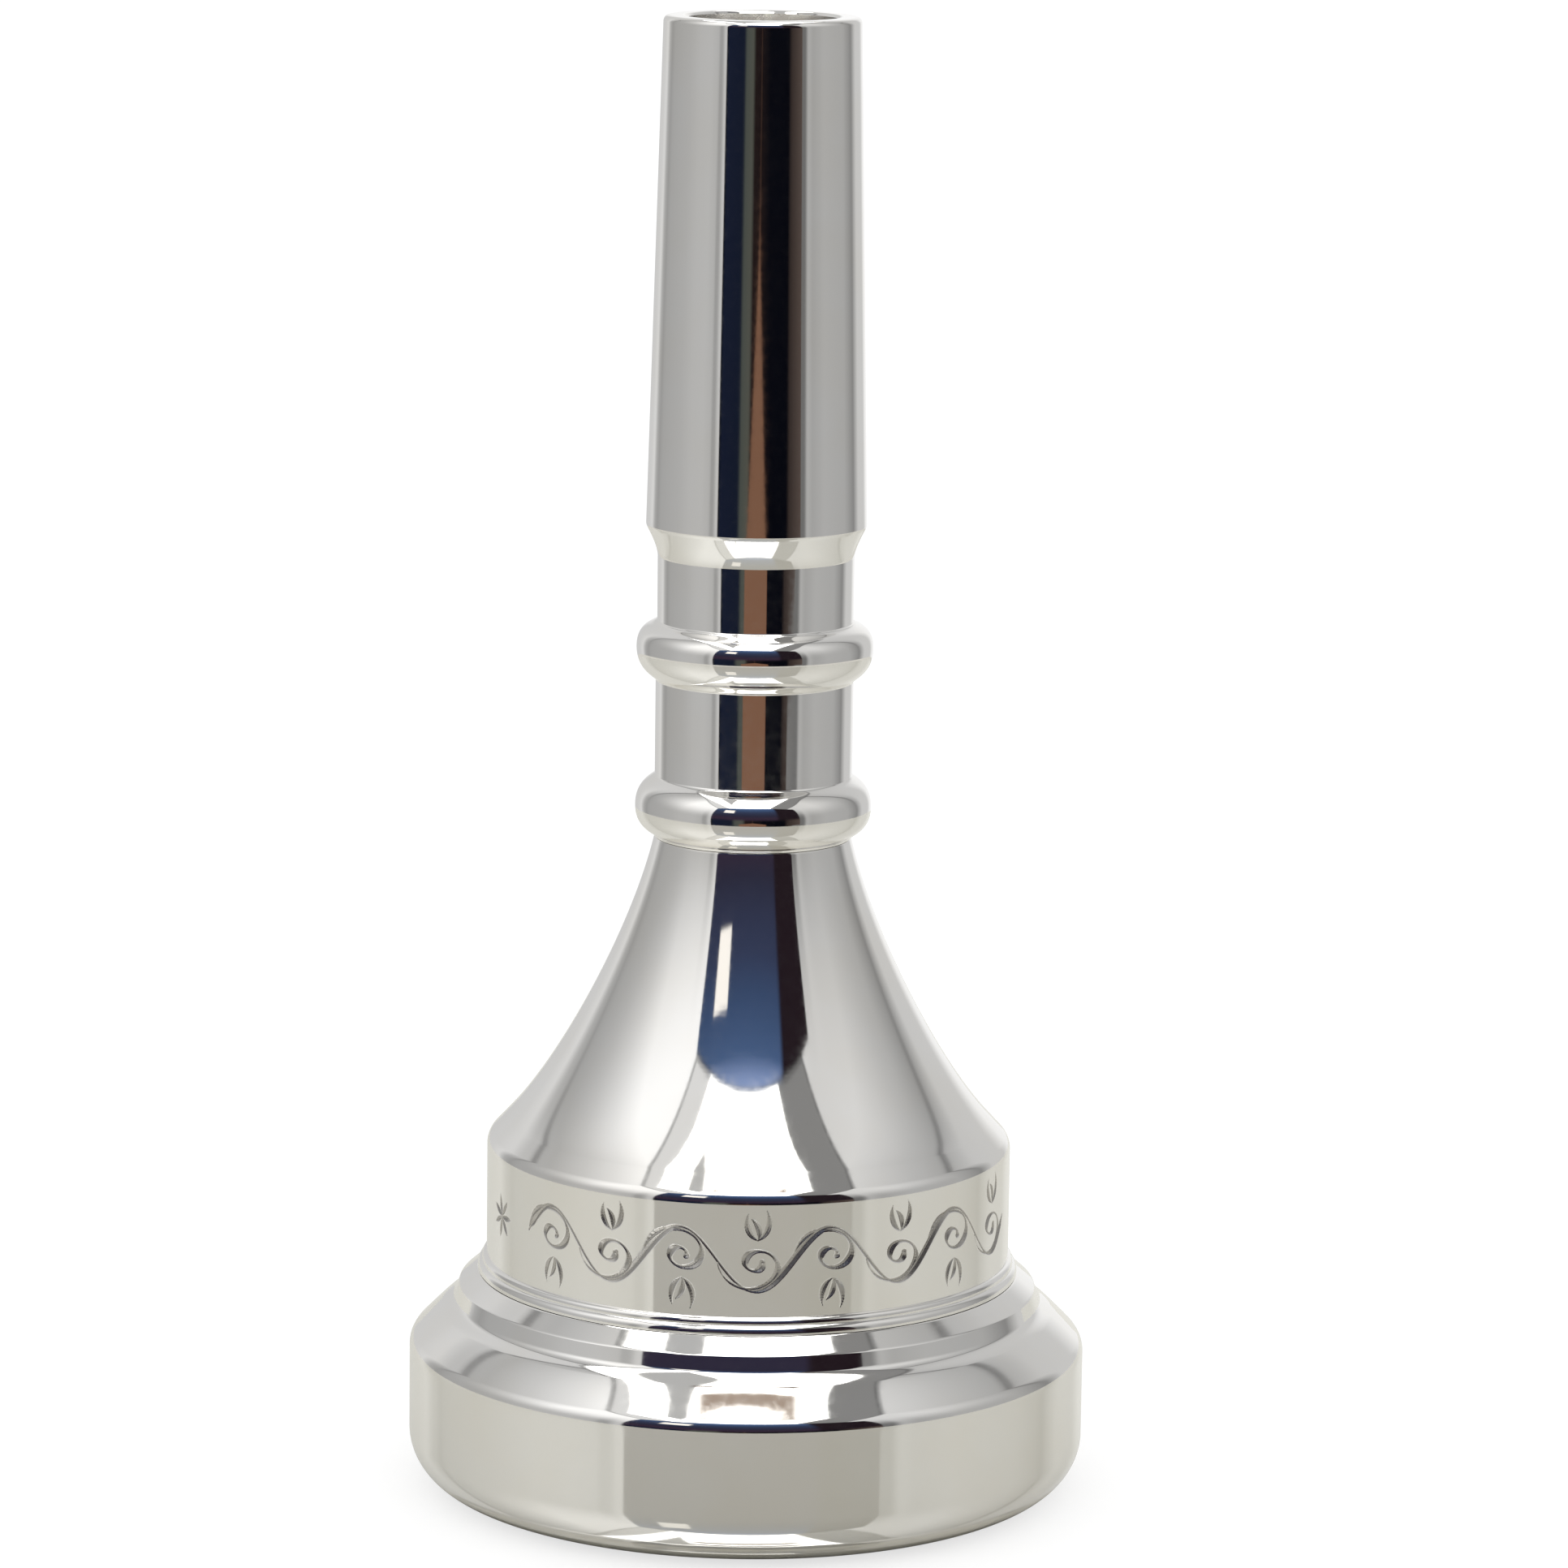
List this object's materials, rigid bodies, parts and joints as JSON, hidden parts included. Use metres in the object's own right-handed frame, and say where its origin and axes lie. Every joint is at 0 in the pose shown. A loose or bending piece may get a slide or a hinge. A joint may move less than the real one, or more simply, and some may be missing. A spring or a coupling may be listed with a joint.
{
  "type": "brass instrument mouthpiece",
  "caption": "Trombone mouthpiece of three turned pieces: a wide screw rim, a cup with an engraved band and a flared body, and a beaded tapered shank, sealed by two rings.",
  "frame": {"origin": "on the axis, in the plane that the rim rests on", "axes": "+Z along the bore axis from the rim towards the shank tip; X and Y are free, because the piece is round"},
  "size_m": [0.0384, 0.0384, 0.0834],
  "materials": {
    "silver_plate": "silver plate on brass, mirror polished, with fine turning marks",
    "seal_rubber": "black nitrile rubber, satin"
  },
  "bodies": {
    "rim": {"rim": "silver_plate"},
    "rim_seal": {"rim_seal": "seal_rubber"},
    "cup": {"cup": "silver_plate"},
    "shank_seal": {"shank_seal": "seal_rubber"},
    "shank": {"shank": "silver_plate"}
  },
  "joints": [
    {"name": "cup_lift", "type": "slide", "parent": "rim", "child": "rim_seal", "axis": [0, 0, 1], "range_m": [0, 0.006]},
    {"name": "cup_turn", "type": "hinge", "parent": "rim_seal", "child": "cup", "pos_m": [0, 0, 0.01225], "axis": [0, 0, 1], "range_deg": [0, 2166]},
    {"name": "shank_lift", "type": "slide", "parent": "cup", "child": "shank_seal", "axis": [0, 0, 1], "range_m": [0, 0.0056]},
    {"name": "shank_turn", "type": "hinge", "parent": "shank_seal", "child": "shank", "pos_m": [0, 0, 0.0373], "axis": [0, 0, 1], "range_deg": [0, 2527]}
  ],
  "couplings": [
    {"joint": "cup_turn", "follows": "cup_lift", "rad_per_m": 6283.2},
    {"joint": "shank_turn", "follows": "shank_lift", "rad_per_m": 7854}
  ]
}
